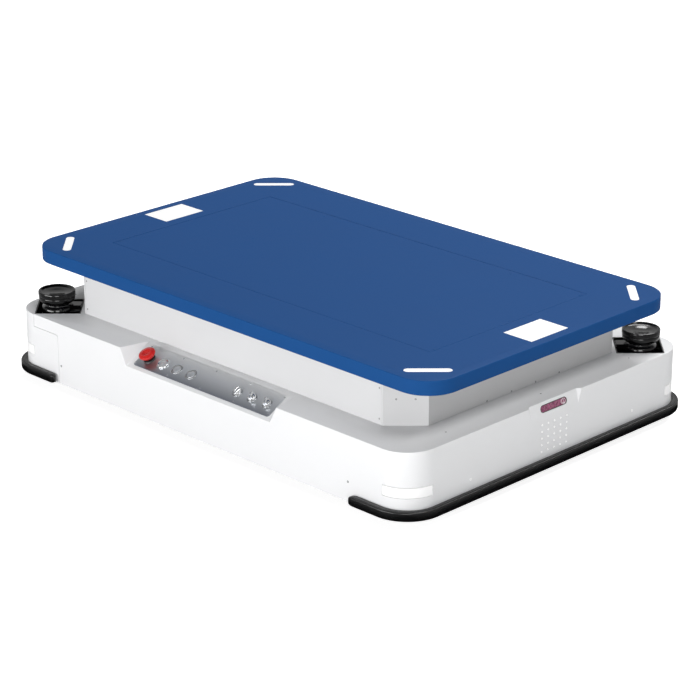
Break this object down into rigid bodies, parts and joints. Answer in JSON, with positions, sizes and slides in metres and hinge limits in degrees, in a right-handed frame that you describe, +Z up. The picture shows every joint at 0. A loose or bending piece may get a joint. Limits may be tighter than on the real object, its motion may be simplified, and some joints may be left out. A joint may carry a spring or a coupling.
{
  "type": "autonomous mobile robot",
  "caption": "Low flat autonomous mobile robot with white body, blue load deck, corner laser scanners, control panel and front depth camera.",
  "frame": {"origin": "on the floor, midway between the outermost faces in X and Y", "axes": "+X towards the end with the depth camera, +Y to the robot's left (the control panel is on the -Y side), +Z up"},
  "size_m": [1.334, 0.958, 0.3194],
  "materials": {
    "white_shell": "satin",
    "frame_steel": "matte",
    "frame_aluminium": "satin",
    "light_strip": "satin",
    "deck_light": "satin",
    "deck_marker": "matte",
    "rail_aluminium": "satin",
    "bumper_rubber": "matte",
    "bumper_cap": "matte",
    "deck_blue": "satin",
    "deck_cover_blue": "satin",
    "panel_steel": "satin",
    "bezel_dark": "satin",
    "stop_red": "gloss",
    "stop_stem": "matte",
    "button_blue": "gloss",
    "button_white": "gloss",
    "button_dark": "gloss",
    "knob_chrome": "polished",
    "tray_black": "matte",
    "scanner_black": "satin",
    "scanner_optics": "gloss",
    "rotor_mirror": "polished",
    "camera_glass": "gloss",
    "camera_body": "matte",
    "speaker_black": "matte",
    "battery_case": "matte",
    "computer_case": "satin",
    "zinc_steel": "satin",
    "caster_tread": "matte",
    "carrier_steel": "satin",
    "motor_dark": "satin",
    "drive_wheel": "matte",
    "buffer_rubber": "matte"
  },
  "bodies": {
    "robot": {"base_plate": "frame_steel", "battery_pack": "battery_case", "body_shell": "white_shell", "bumper_end_caps": "bumper_cap", "bumper_rails": "rail_aluminium", "camera_module": "camera_body", "camera_window": "camera_glass", "caster_bridges": "frame_steel", "caster_plates": "zinc_steel", "control_bezels": "bezel_dark", "control_computer": "computer_case", "control_panel_plate": "panel_steel", "corner_light_strips": "light_strip", "deck_corner_lights": "deck_light", "deck_cover": "deck_cover_blue", "deck_end_markers": "deck_marker", "deck_frame": "frame_aluminium", "deck_plate": "deck_blue", "deck_underplate": "deck_blue", "front_bumper": "bumper_rubber", "front_end_panel": "white_shell", "left_side_panel": "white_shell", "left_suspension_buffer": "buffer_rubber", "long_beams": "frame_steel", "rear_bumper": "bumper_rubber", "rear_cover": "white_shell", "rear_end_panel": "white_shell", "right_side_panel": "white_shell", "right_suspension_buffer": "buffer_rubber", "riser_corner_panels": "white_shell", "scanner_heads": "scanner_black", "scanner_housings": "scanner_black", "scanner_optics_covers": "scanner_optics", "scanner_trays": "tray_black", "speaker": "speaker_black", "suspension_posts": "frame_steel"},
    "estop_stem": {"estop_stem": "stop_stem"},
    "estop_head": {"estop_head": "stop_red"},
    "reset_button": {"reset_button": "button_blue"},
    "start_button": {"start_button": "button_white"},
    "pause_button": {"pause_button": "button_dark"},
    "mode_selector": {"mode_selector": "knob_chrome"},
    "brake_selector": {"brake_selector": "knob_chrome"},
    "power_selector": {"power_selector": "knob_chrome"},
    "front_scanner_rotor": {"front_scanner_rotor": "rotor_mirror"},
    "rear_scanner_rotor": {"rear_scanner_rotor": "rotor_mirror"},
    "front_left_caster_swivel": {"front_left_caster_fork": "zinc_steel"},
    "front_left_caster_wheel": {"front_left_caster_wheel": "caster_tread"},
    "front_right_caster_swivel": {"front_right_caster_fork": "zinc_steel"},
    "front_right_caster_wheel": {"front_right_caster_wheel": "caster_tread"},
    "rear_left_caster_swivel": {"rear_left_caster_fork": "zinc_steel"},
    "rear_left_caster_wheel": {"rear_left_caster_wheel": "caster_tread"},
    "rear_right_caster_swivel": {"rear_right_caster_fork": "zinc_steel"},
    "rear_right_caster_wheel": {"rear_right_caster_wheel": "caster_tread"},
    "right_drive_carrier": {"right_drive_carrier": "carrier_steel", "right_drive_motor": "motor_dark"},
    "right_drive_wheel": {"right_drive_wheel": "drive_wheel"},
    "left_drive_carrier": {"left_drive_carrier": "carrier_steel", "left_drive_motor": "motor_dark"},
    "left_drive_wheel": {"left_drive_wheel": "drive_wheel"}
  },
  "joints": [
    {"name": "estop_press", "type": "slide", "parent": "robot", "child": "estop_stem", "axis": [0, 0.4612, -0.8873], "range_m": [0, 0.004]},
    {"name": "estop_release_turn", "type": "hinge", "parent": "estop_stem", "child": "estop_head", "pos_m": [-0.194, -0.43523, 0.17057], "axis": [0, -0.4612, 0.8873], "range_deg": [0, 45], "stiffness_Nm_per_rad": 0.05},
    {"name": "reset_button_press", "type": "slide", "parent": "robot", "child": "reset_button", "axis": [0, 0.4612, -0.8873], "range_m": [0, 0.0025], "stiffness_N_per_m": 1000, "springref_m": -0.0005},
    {"name": "start_button_press", "type": "slide", "parent": "robot", "child": "start_button", "axis": [0, 0.4612, -0.8873], "range_m": [0, 0.0025], "stiffness_N_per_m": 1000, "springref_m": -0.0005},
    {"name": "pause_button_press", "type": "slide", "parent": "robot", "child": "pause_button", "axis": [0, 0.4612, -0.8873], "range_m": [0, 0.0025], "stiffness_N_per_m": 1000, "springref_m": -0.0005},
    {"name": "mode_selector_turn", "type": "hinge", "parent": "robot", "child": "mode_selector", "pos_m": [0.1, -0.4297, 0.15992], "axis": [0, -0.4612, 0.8873], "range_deg": [-45, 45]},
    {"name": "brake_selector_turn", "type": "hinge", "parent": "robot", "child": "brake_selector", "pos_m": [0.147, -0.4297, 0.15992], "axis": [0, -0.4612, 0.8873], "range_deg": [0, 90]},
    {"name": "power_selector_turn", "type": "hinge", "parent": "robot", "child": "power_selector", "pos_m": [0.194, -0.4297, 0.15992], "axis": [0, -0.4612, 0.8873], "range_deg": [0, 90]},
    {"name": "front_scanner_spin", "type": "hinge", "parent": "robot", "child": "front_scanner_rotor", "pos_m": [0.575, 0.387, 0.185], "axis": [0, 0, 1], "continuous": true},
    {"name": "rear_scanner_spin", "type": "hinge", "parent": "robot", "child": "rear_scanner_rotor", "pos_m": [-0.575, -0.387, 0.185], "axis": [0, 0, 1], "continuous": true},
    {"name": "front_left_swivel", "type": "hinge", "parent": "robot", "child": "front_left_caster_swivel", "pos_m": [0.47, 0.258, 0.128], "axis": [0, 0, 1], "continuous": true},
    {"name": "front_left_roll", "type": "hinge", "parent": "front_left_caster_swivel", "child": "front_left_caster_wheel", "pos_m": [0.432, 0.258, 0.05], "axis": [0, 1, 0], "continuous": true},
    {"name": "front_right_swivel", "type": "hinge", "parent": "robot", "child": "front_right_caster_swivel", "pos_m": [0.47, -0.258, 0.128], "axis": [0, 0, 1], "continuous": true},
    {"name": "front_right_roll", "type": "hinge", "parent": "front_right_caster_swivel", "child": "front_right_caster_wheel", "pos_m": [0.432, -0.258, 0.05], "axis": [0, 1, 0], "continuous": true},
    {"name": "rear_left_swivel", "type": "hinge", "parent": "robot", "child": "rear_left_caster_swivel", "pos_m": [-0.47, 0.258, 0.128], "axis": [0, 0, 1], "continuous": true},
    {"name": "rear_left_roll", "type": "hinge", "parent": "rear_left_caster_swivel", "child": "rear_left_caster_wheel", "pos_m": [-0.508, 0.258, 0.05], "axis": [0, 1, 0], "continuous": true},
    {"name": "rear_right_swivel", "type": "hinge", "parent": "robot", "child": "rear_right_caster_swivel", "pos_m": [-0.47, -0.258, 0.128], "axis": [0, 0, 1], "continuous": true},
    {"name": "rear_right_roll", "type": "hinge", "parent": "rear_right_caster_swivel", "child": "rear_right_caster_wheel", "pos_m": [-0.508, -0.258, 0.05], "axis": [0, 1, 0], "continuous": true},
    {"name": "right_drive_suspension", "type": "slide", "parent": "robot", "child": "right_drive_carrier", "axis": [0, 0, 1], "range_m": [-0.008, 0.008], "stiffness_N_per_m": 20000, "springref_m": -0.03, "deforming": ["right_suspension_buffer"]},
    {"name": "right_drive_spin", "type": "hinge", "parent": "right_drive_carrier", "child": "right_drive_wheel", "pos_m": [0, -0.325, 0.1], "axis": [0, 1, 0], "continuous": true},
    {"name": "left_drive_suspension", "type": "slide", "parent": "robot", "child": "left_drive_carrier", "axis": [0, 0, 1], "range_m": [-0.008, 0.008], "stiffness_N_per_m": 20000, "springref_m": -0.03, "deforming": ["left_suspension_buffer"]},
    {"name": "left_drive_spin", "type": "hinge", "parent": "left_drive_carrier", "child": "left_drive_wheel", "pos_m": [0, 0.325, 0.1], "axis": [0, 1, 0], "continuous": true}
  ]
}
